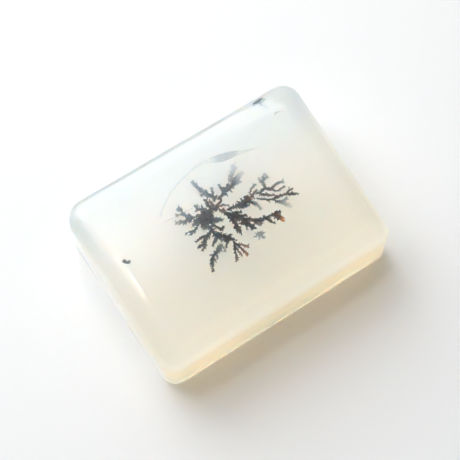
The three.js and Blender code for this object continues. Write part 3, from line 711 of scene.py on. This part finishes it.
def crack_finish():
    """Grey film in the open part of the crack, hatched across and darkest in the middle."""
    finish, shader, place = new_finish("crack_film")
    turn = {"Vector": place, "Rotation": (0, 0, math.radians(32)), "Scale": (14, 1.2, 1)}
    hatch = shader.noise(shader.node("ShaderNodeMapping", {}, turn), 1, 3)
    middle = shader.near(place, (3.15, 5.5), 1.6)
    shader.surface({
        "Base Color": shader.blend(middle, (0.38, 0.33, 0.27), (0.2, 0.21, 0.23)),
        "Roughness": 0.7,
        "Alpha": (0.12 + 0.13 * shader.ease(hatch, 0.3, 0.7)) * (0.55 + 0.9 * middle),
    })
    return finish


def nearest_depth(earlier, root):
    """The depth of the nearest point on the earlier branches."""
    found = (math.inf, 0)
    for spots in earlier:
        for start, end in zip(spots, spots[1:]):
            for quarter in range(5):
                spot = start.lerp(end, quarter / 4)
                away = (spot.xy - Vector(root[:2])).length
                found = min(found, (away, spot.z))
    return found[1]


def placed_branches(limb):
    """Each branch as its spots (x, y, z, half width), sunk evenly from its root to its tip."""
    root_depth, branches = limb
    plans = []
    placed = []
    for tip_depth, leafy, points in branches:
        depth = nearest_depth(plans, points[0]) if plans else root_depth
        last = len(points) - 1
        plan = []
        spots = []
        for i, (x, y, width) in enumerate(points):
            sunk = depth + (tip_depth - depth) * i / last
            shift = LEAN * (sunk - LEAN_FROM)
            plan.append(Vector((x, y, sunk)))
            spots.append(Vector((x + shift.x, y + shift.y, TOP - sunk, width)))
        plans.append(plan)
        placed.append((leafy, spots))
    return placed


def eased_run(spots, step):
    """Spots at even steps along a branch, curved smoothly through the given ones."""
    last = len(spots) - 1
    run = []
    for i in range(last):
        before = spots[max(i - 1, 0)]
        start = spots[i]
        end = spots[i + 1]
        after = spots[min(i + 2, last)]
        count = max(1, round((end.xyz - start.xyz).length / step))
        for n in range(count):
            t = n / count
            leave = (end - before) * 0.5
            arrive = (after - start) * 0.5
            run.append(
                start * (2 * t**3 - 3 * t**2 + 1)
                + leave * (t**3 - 2 * t**2 + t)
                + end * (3 * t**2 - 2 * t**3)
                + arrive * (t**3 - t**2)
            )
    run.append(spots[-1])
    return run


def turned(heading, angle, rise):
    """A level heading turned by an angle and tipped up or down."""
    aim = heading.copy()
    aim.rotate(Matrix.Rotation(angle, 3, "Z"))
    aim.z = rise
    return aim


def lobes(run, leafy, rng):
    """Short lobes on both sides of a branch, leaning towards its tip, some with a bud."""
    strokes = []
    for i in range(1, len(run)):
        ahead = (run[i] - run[i - 1]).xyz
        ahead.z = 0
        ahead.normalize()
        width = run[i].w
        for side in (-1, 1):
            if rng.random() > LOBE_CHANCE[leafy]:
                continue
            lean = side * math.radians(rng.uniform(*LOBE_LEAN))
            aim = turned(ahead, lean, rng.uniform(-0.4, 0.4))
            more = rng.uniform(*LOBE_REACH[leafy])
            reach = width * rng.uniform(0.75, 1.25) + more
            thick = rng.uniform(0.036, 0.055) + 0.12 * width
            root = run[i].xyz
            tip = root + aim * reach
            strokes.append([(root, thick), (root.lerp(tip, 0.6), thick), (tip, 0.85 * thick)])
            if leafy and rng.random() < BUD_CHANCE:
                bud = tip.lerp(root, 0.3)
                sprout = turned(aim, -side * math.radians(rng.uniform(*BUD_LEAN)), aim.z)
                end = bud + sprout * rng.uniform(*BUD_REACH)
                strokes.append([(bud, 0.7 * thick), (end, 0.45 * thick)])
    return strokes


def stem(run, rng, share):
    """The branch itself, a little uneven in thickness."""
    return [(spot.xyz, max(0.03, share * spot.w * rng.uniform(0.85, 1.12))) for spot in run]


def stroke_mesh(name, strokes, detail):
    """One closed skin round many tapering strokes, each a list of (point, radius)."""
    curve = bpy.data.curves.new(name, "CURVE")
    curve.dimensions = "3D"
    curve.bevel_depth = 1
    curve.bevel_resolution = 1
    curve.use_fill_caps = True
    for stroke in strokes:
        spline = curve.splines.new("POLY")
        spline.points.add(len(stroke) - 1)
        for point, (at, radius) in zip(spline.points, stroke):
            point.co = (at.x, at.y, at.z / FLATNESS, 1)
            point.radius = radius
    tubes = bpy.data.objects.new(name + "_tubes", curve)
    bpy.context.collection.objects.link(tubes)
    loose = baked_mesh(tubes, name + "_loose")
    lump = bpy.data.objects.new(name + "_lump", loose)
    bpy.context.collection.objects.link(lump)
    remesh = lump.modifiers.new("skin", "REMESH")
    remesh.mode = "VOXEL"
    remesh.voxel_size = detail / MM
    mesh = baked_mesh(lump, name)
    for scrap in (tubes, lump):
        bpy.data.objects.remove(scrap)
    bm = bmesh.new()
    bm.from_mesh(mesh)
    bmesh.ops.smooth_vert(
        bm, verts=bm.verts, factor=0.5, use_axis_x=True, use_axis_y=True, use_axis_z=True
    )
    bmesh.ops.scale(bm, vec=(MM, MM, MM * FLATNESS), verts=bm.verts)
    for face in bm.faces:
        face.smooth = True
    bm.to_mesh(mesh)
    bm.free()
    return mesh


def baked_mesh(thing, name):
    """A new mesh with a curve's tubes or an object's modifiers worked into it."""
    bpy.context.view_layer.update()
    graph = bpy.context.evaluated_depsgraph_get()
    mesh = bpy.data.meshes.new_from_object(thing.evaluated_get(graph))
    mesh.name = name
    return mesh


def piece(name, mesh, finish, replaced=()):
    """A finished piece that rides on the stone and stands for the given solids."""
    thing = bpy.data.objects.new(name, mesh)
    bpy.context.collection.objects.link(thing)
    mesh.materials.clear()
    mesh.materials.append(finish)
    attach(thing, BODY)
    if replaced:
        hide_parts(*replaced)
    return thing


def tablet_mesh(sizes):
    """The tablet, from a plan of four corners that is rounded, raised and edge rounded."""
    bm = bmesh.new()
    rows = []
    for i in range(BASE_STEPS + 1):
        angle = math.pi / 2 * i / BASE_STEPS
        drawn_in = sizes.base_round * (1 - math.sin(angle))
        rows.append((drawn_in, sizes.base_round * (1 - math.cos(angle))))
    for i in range(SHOULDER_STEPS + 1):
        angle = math.pi / 2 * i / SHOULDER_STEPS
        drawn_in = sizes.shoulder_width * (1 - math.cos(angle))
        rows.append((drawn_in, sizes.thickness - sizes.shoulder_height * (1 - math.sin(angle))))
    below = None
    for drawn_in, level in rows:
        rim = plan_rim(bm, drawn_in, level)
        if below:
            bmesh.ops.bridge_loops(bm, edges=below + rim)
        below = rim
    bmesh.ops.holes_fill(bm, edges=bm.edges, sides=0)
    # A hair lower than the shoulder's foot, so that rounding leaves none of it out
    start = sizes.thickness - sizes.shoulder_height - 1e-6
    front = [vert for vert in bm.verts if vert.co.y < 0 and vert.co.z > start]
    fixed_top = Matrix.Translation((0, 0, -sizes.thickness))
    bmesh.ops.scale(bm, vec=(1, 1, sizes.front_droop), space=fixed_top, verts=front)
    bmesh.ops.recalc_face_normals(bm, faces=bm.faces)
    for face in bm.faces:
        face.smooth = True
    mesh = bpy.data.meshes.new("agate_tablet")
    bm.to_mesh(mesh)
    bm.free()
    return mesh


def plan_rim(bm, drawn_in, level):
    """The edges of the tablet's plan at a level, drawn in all round and its corners rounded."""
    known = set(bm.edges)
    corners = []
    for x, y, _ in CORNERS:
        inner = (x * MM - math.copysign(drawn_in, x), y * MM - math.copysign(drawn_in, y), level)
        corners.append(bm.verts.new(inner))
    bm.faces.new(corners)
    for vert, (_, _, radius) in zip(corners, CORNERS):
        bmesh.ops.bevel(
            bm,
            geom=[vert],
            offset=radius * MM - CORNER_SHRINK * drawn_in,
            offset_type="OFFSET",
            segments=CORNER_STEPS,
            profile=0.5,
            affect="VERTICES",
            material=-1,
        )
    rim = [edge for edge in bm.edges if edge not in known]
    bmesh.ops.delete(bm, geom=list(rim[0].link_faces), context="FACES_ONLY")
    return rim


def film_mesh(name, outline, level):
    """A very thin flat leaf with a given outline, from a filled curve."""
    curve = bpy.data.curves.new(name, "CURVE")
    curve.dimensions = "2D"
    curve.fill_mode = "BOTH"
    curve.extrude = FILM_HALF
    spline = curve.splines.new("POLY")
    spline.points.add(len(outline) - 1)
    for point, at in zip(spline.points, outline):
        point.co = (at.x, at.y, 0, 1)
    spline.use_cyclic_u = True
    leaf = bpy.data.objects.new(name + "_leaf", curve)
    bpy.context.collection.objects.link(leaf)
    mesh = baked_mesh(leaf, name)
    bpy.data.objects.remove(leaf)
    bm = bmesh.new()
    bm.from_mesh(mesh)
    bmesh.ops.remove_doubles(bm, verts=bm.verts, dist=1e-4)
    bmesh.ops.recalc_face_normals(bm, faces=bm.faces)
    bmesh.ops.translate(bm, vec=(0, 0, level), verts=bm.verts)
    bmesh.ops.scale(bm, vec=(MM, MM, MM), verts=bm.verts)
    bm.to_mesh(mesh)
    bm.free()
    return mesh


class AGATE_OT_tablet(bpy.types.Operator):
    """Build the polished stone"""

    bl_idname = "agate.tablet"
    bl_label = "Stone"
    bl_options = {"REGISTER", "UNDO"}

    def execute(self, context):
        look = context.scene.agate_stone
        stone = piece(
            "agate_tablet",
            tablet_mesh(look),
            stone_finish(look),
            ("agate_upper", "agate_lower"),
        )
        even = stone.modifiers.new("even", "WEIGHTED_NORMAL")
        even.weight = 100
        return {"FINISHED"}


# The rust and flame spots as (x, y, reach, share), of each limb that has its own
RUSTS = {
    "dendrite_heart": [(-0.3, 2.3, 0.5, 0.5), (0.1, 1.75, 0.6, 0.45)],
    "dendrite_east_heart": [(-0.1, 1.2, 0.6, 0.8)],
    "dendrite_east_limb": [(3.1, 1.1, 0.7, 0.6)],
    "dendrite_west_limb": [(-3.5, 2.85, 0.5, 0.35)],
    "dendrite_brown_fan": [
        (0.05, -2.9, 0.8, 1), (-0.4, -3.4, 0.9, 1), (-1.4, -3.4, 0.6, 0.4), (-0.7, -3.1, 0.6, 0.7),
    ],
    "dendrite_far_east_limb": [(5.2, 0.0, 1.4, 0.25)],
    "dendrite_southeast_limb": [(3.8, -2.05, 0.5, 0.35)],
}
FLAMES = {
    "dendrite_southeast_limb": [(4.22, -2.62, 0.55, 1)],
    "dendrite_brown_fan": [(0.1, -2.95, 0.35, 0.35), (-0.38, -3.55, 0.5, 0.35)],
}


class AGATE_OT_growth(bpy.types.Operator):
    """Grow the limbs of the dark branching growth"""

    bl_idname = "agate.growth"
    bl_label = "Growth"
    bl_options = {"REGISTER", "UNDO"}

    def execute(self, context):
        look = context.scene.agate_growth
        # Painted haze: faint shells round the deep growth stand in for its blur through the milky
        # stone
        blur_haze = haze_finish("painted_blur_haze", look.deep, (0.16, 0.19, 0.25), 0.2)
        for count, (name, limb) in enumerate(LIMBS.items()):
            rng = random.Random(look.seed + 101 * count)
            strokes = []
            smoke = []
            for leafy, spots in placed_branches(limb):
                run = eased_run(spots, LOBE_STEP)
                strokes.append(stem(run, rng, 0.78))
                strokes += lobes(run, leafy, rng)
                # The growth deeper than VEILED_FROM gets a painted haze round it
                deep = [spot for spot in run if TOP - spot.z > VEILED_FROM]
                if len(deep) > 1:
                    smoke.append([(spot.xyz, 0.6 * spot.w + 0.05) for spot in deep])
                    smoke += lobes(deep, FERN, rng)
            finish = growth_finish(name, look, RUSTS.get(name, ()), FLAMES.get(name, ()))
            skin = stroke_mesh(name, strokes, look.detail)
            piece(name + "_fine", skin, finish, (name,))
            if smoke:
                smoke_name = name.replace("dendrite", "smoke")
                skin = stroke_mesh(smoke_name, smoke, 1.5 * look.detail)
                piece(smoke_name, skin, blur_haze)
        return {"FINISHED"}


class AGATE_OT_grain(bpy.types.Operator):
    """Build the small dark grain near the left end"""

    bl_idname = "agate.grain"
    bl_label = "Grain"
    bl_options = {"REGISTER", "UNDO"}

    def execute(self, context):
        look = context.scene.agate_growth
        rng = random.Random(look.seed)
        strokes = []
        for _, spots in placed_branches(GRAIN):
            run = eased_run(spots, GRAIN_STEP)
            strokes.append(stem(run, rng, 1))
        skin = stroke_mesh("dark_grain", strokes, look.detail)
        finish = growth_finish("grain_black", look)
        piece("dark_grain_fine", skin, finish, ("dark_grain",))
        return {"FINISHED"}


class AGATE_OT_marks(bpy.types.Operator):
    """Build the old crack and the small marks inside the stone"""

    bl_idname = "agate.marks"
    bl_label = "Marks"
    bl_options = {"REGISTER", "UNDO"}

    def execute(self, context):
        look = context.scene.agate_growth
        finishes = {
            "slate": haze_finish("edge_slate", (0.03, 0.034, 0.042), (0.05, 0.055, 0.065), 1),
            "smoke": haze_finish("grey_smoke", look.deep, (0.25, 0.28, 0.33), 0.35),
            "red": haze_finish("red_stain", (0.3, 0.09, 0.06), (0.22, 0.08, 0.07), 0.6),
            "line": haze_finish("crack_line", (0.3, 0.26, 0.2), (0.45, 0.4, 0.34), 0.2),
        }
        for name, (finish, strokes) in MARKS.items():
            strokes = [[(Vector(spot[:3]), spot[3]) for spot in stroke] for stroke in strokes]
            skin = stroke_mesh(name, strokes, 0.7 * look.detail)
            piece(name, skin, finishes[finish])
        level = TOP - CRACK_DEPTH
        spots = [Vector((x, y, level, CRACK_RADIUS)) for x, y in CRACK_LINE]
        line = eased_run(spots, CRACK_STEP)
        skin = stroke_mesh("crack_line", [[(spot.xyz, spot.w) for spot in line]], look.detail)
        piece("crack_line", skin, finishes["line"])
        outline = []
        for edge in (CRACK_BACK, CRACK_FRONT):
            outline += eased_run([Vector((x, y, level, 0)) for x, y in edge], CRACK_STEP)[:-1]
        piece("crack_film", film_mesh("crack_film", outline, level), crack_finish())
        return {"FINISHED"}


def floor_finish(tone):
    """Matt paper with a faint grain."""
    finish, shader, place = new_finish("studio_floor")
    shader.surface({
        "Base Color": paint(tone),
        "Roughness": 0.9,
        "Normal": shader.bump(shader.noise(place, 1.2, 4), 0.05, 0.05 * MM),
    })
    return finish


def direction(turn, height):
    """The way to a thing turned to the left from straight behind and raised above the floor."""
    level = math.cos(height)
    return Vector((-math.sin(turn) * level, math.cos(turn) * level, math.sin(height)))


class AGATE_OT_stage(bpy.types.Operator):
    """Set up the floor, the lights and the camera"""

    bl_idname = "agate.stage"
    bl_label = "Stage"
    bl_options = {"REGISTER", "UNDO"}

    def execute(self, context):
        look = context.scene.agate_stage
        scene = context.scene
        self.add_floor(look)
        self.add_key(look)
        self.light_room(look)
        self.add_camera(scene)
        self.set_light_paths(scene)
        return {"FINISHED"}

    def add_floor(self, look):
        bm = bmesh.new()
        bmesh.ops.create_grid(bm, x_segments=1, y_segments=1, size=1)
        bmesh.ops.translate(bm, vec=(0, 0, -0.03 * MM), verts=bm.verts)
        mesh = bpy.data.meshes.new("studio_floor")
        bm.to_mesh(mesh)
        bm.free()
        floor = bpy.data.objects.new("studio_floor", mesh)
        bpy.context.collection.objects.link(floor)
        mesh.materials.append(floor_finish(look.floor))

    def add_key(self, look):
        """A square soft light aimed at the stone."""
        light = bpy.data.lights.new("key_light", "AREA")
        light.energy = look.key
        light.size = look.key_size
        light.color = look.key_tone
        lamp = bpy.data.objects.new("key_light", light)
        bpy.context.collection.objects.link(lamp)
        lamp.location = look.key_distance * direction(look.key_turn, look.key_height)
        lamp.rotation_euler = lamp.location.to_track_quat("Z", "Y").to_euler()

    def light_room(self, look):
        """A cool window behind the stone, a warm dim room in front and a white ceiling, with the
        brighter fields that the polish mirrors."""
        world = bpy.data.worlds.new("studio")
        bpy.context.scene.world = world
        shader = Shader(world)
        heading = shader.node("ShaderNodeTexCoord", {}, {}, "Generated")
        across, along, up = shader.parts(heading)
        fields = {}
        for name, (sides, depths) in FIELDS.items():
            fields[name] = shader.band(across, *sides) * shader.band(along, *depths)
        # The near edge of the patch runs a little aslant
        patch = shader.ease(along - 0.25 * across, 0.222, 0.285) * fields["patch"]
        left = shader.ease(up, 0.4, 0.6) * fields["left"]
        behind = shader.vector("DOT_PRODUCT", heading, WINDOW_AIM, "Value")
        before = shader.vector("DOT_PRODUCT", heading, ROOM_AIM, "Value")
        window = look.window * shader.ease(behind, 0.3, 0.95) + look.far_glow * fields["far"]
        room = look.room * shader.ease(before, 0.2, 0.9)
        ceiling = look.ceiling * shader.ease(up, 0.75, 0.95)
        ceiling = ceiling + look.glow * (patch + fields["rim"])
        ceiling = ceiling + look.left_glow * left + look.streak * fields["streak"]
        light = None
        for tone, brightness in (
            (look.window_tone, window),
            (look.room_tone, room),
            (look.key_tone, ceiling),
        ):
            inputs = {"Color": paint(tone), "Strength": brightness}
            part = shader.node("ShaderNodeBackground", {}, inputs)
            light = shader.node("ShaderNodeAddShader", {}, {0: light, 1: part}) if light else part
        shader.node("ShaderNodeOutputWorld", {}, {"Surface": light})

    def add_camera(self, scene):
        lens = bpy.data.cameras.new("camera")
        lens.sensor_width = SENSOR_WIDTH
        lens.lens = SENSOR_WIDTH * FOCAL_PIXELS / PICTURE_PIXELS
        lens.clip_start = 1 * MM
        camera = bpy.data.objects.new("camera", lens)
        scene.collection.objects.link(camera)
        away = VIEW_DISTANCE * MM * direction(VIEW_TURN + math.pi, VIEW_HEIGHT)
        camera.location = Vector(VIEW_TARGET) * MM + away
        camera.rotation_euler = (math.pi / 2 - VIEW_HEIGHT, 0, VIEW_TURN)
        scene.camera = camera

    def set_light_paths(self, scene):
        """Enough bounces for light to find its way through milky stone, and none softened."""
        cycles = scene.cycles
        cycles.max_bounces = 128
        cycles.volume_bounces = 64
        cycles.transmission_bounces = 64
        cycles.glossy_bounces = 64
        cycles.diffuse_bounces = 16
        cycles.transparent_max_bounces = 64
        cycles.sample_clamp_indirect = 0
        cycles.blur_glossy = 0
        scene.view_settings.view_transform = "Standard"


class AGATE_PT_panel(bpy.types.Panel):
    """The pieces of the agate tablet"""

    bl_idname = "AGATE_PT_panel"
    bl_label = "Agate Tablet"
    bl_space_type = "VIEW_3D"
    bl_region_type = "UI"
    bl_category = "Agate"

    def draw(self, context):
        for group in (context.scene.agate_stone, context.scene.agate_growth,
                      context.scene.agate_stage):
            box = self.layout.box()
            for name in group.__annotations__:
                box.prop(group, name)
        for operator in STEPS:
            self.layout.operator(operator.bl_idname)


GROUPS = {
    "agate_stone": StoneSettings,
    "agate_growth": GrowthSettings,
    "agate_stage": StageSettings,
}
STEPS = (AGATE_OT_tablet, AGATE_OT_growth, AGATE_OT_grain, AGATE_OT_marks, AGATE_OT_stage)


def register():
    for name, group in GROUPS.items():
        bpy.utils.register_class(group)
        setattr(bpy.types.Scene, name, PointerProperty(type=group))
    for kind in (*STEPS, AGATE_PT_panel):
        bpy.utils.register_class(kind)


def unregister():
    for kind in (AGATE_PT_panel, *reversed(STEPS)):
        bpy.utils.unregister_class(kind)
    for name, group in reversed(list(GROUPS.items())):
        delattr(bpy.types.Scene, name)
        bpy.utils.unregister_class(group)


def main():
    register()
    bpy.ops.agate.tablet()
    bpy.ops.agate.growth()
    bpy.ops.agate.grain()
    bpy.ops.agate.marks()
    bpy.ops.agate.stage()


if __name__ == "__main__":
    main()
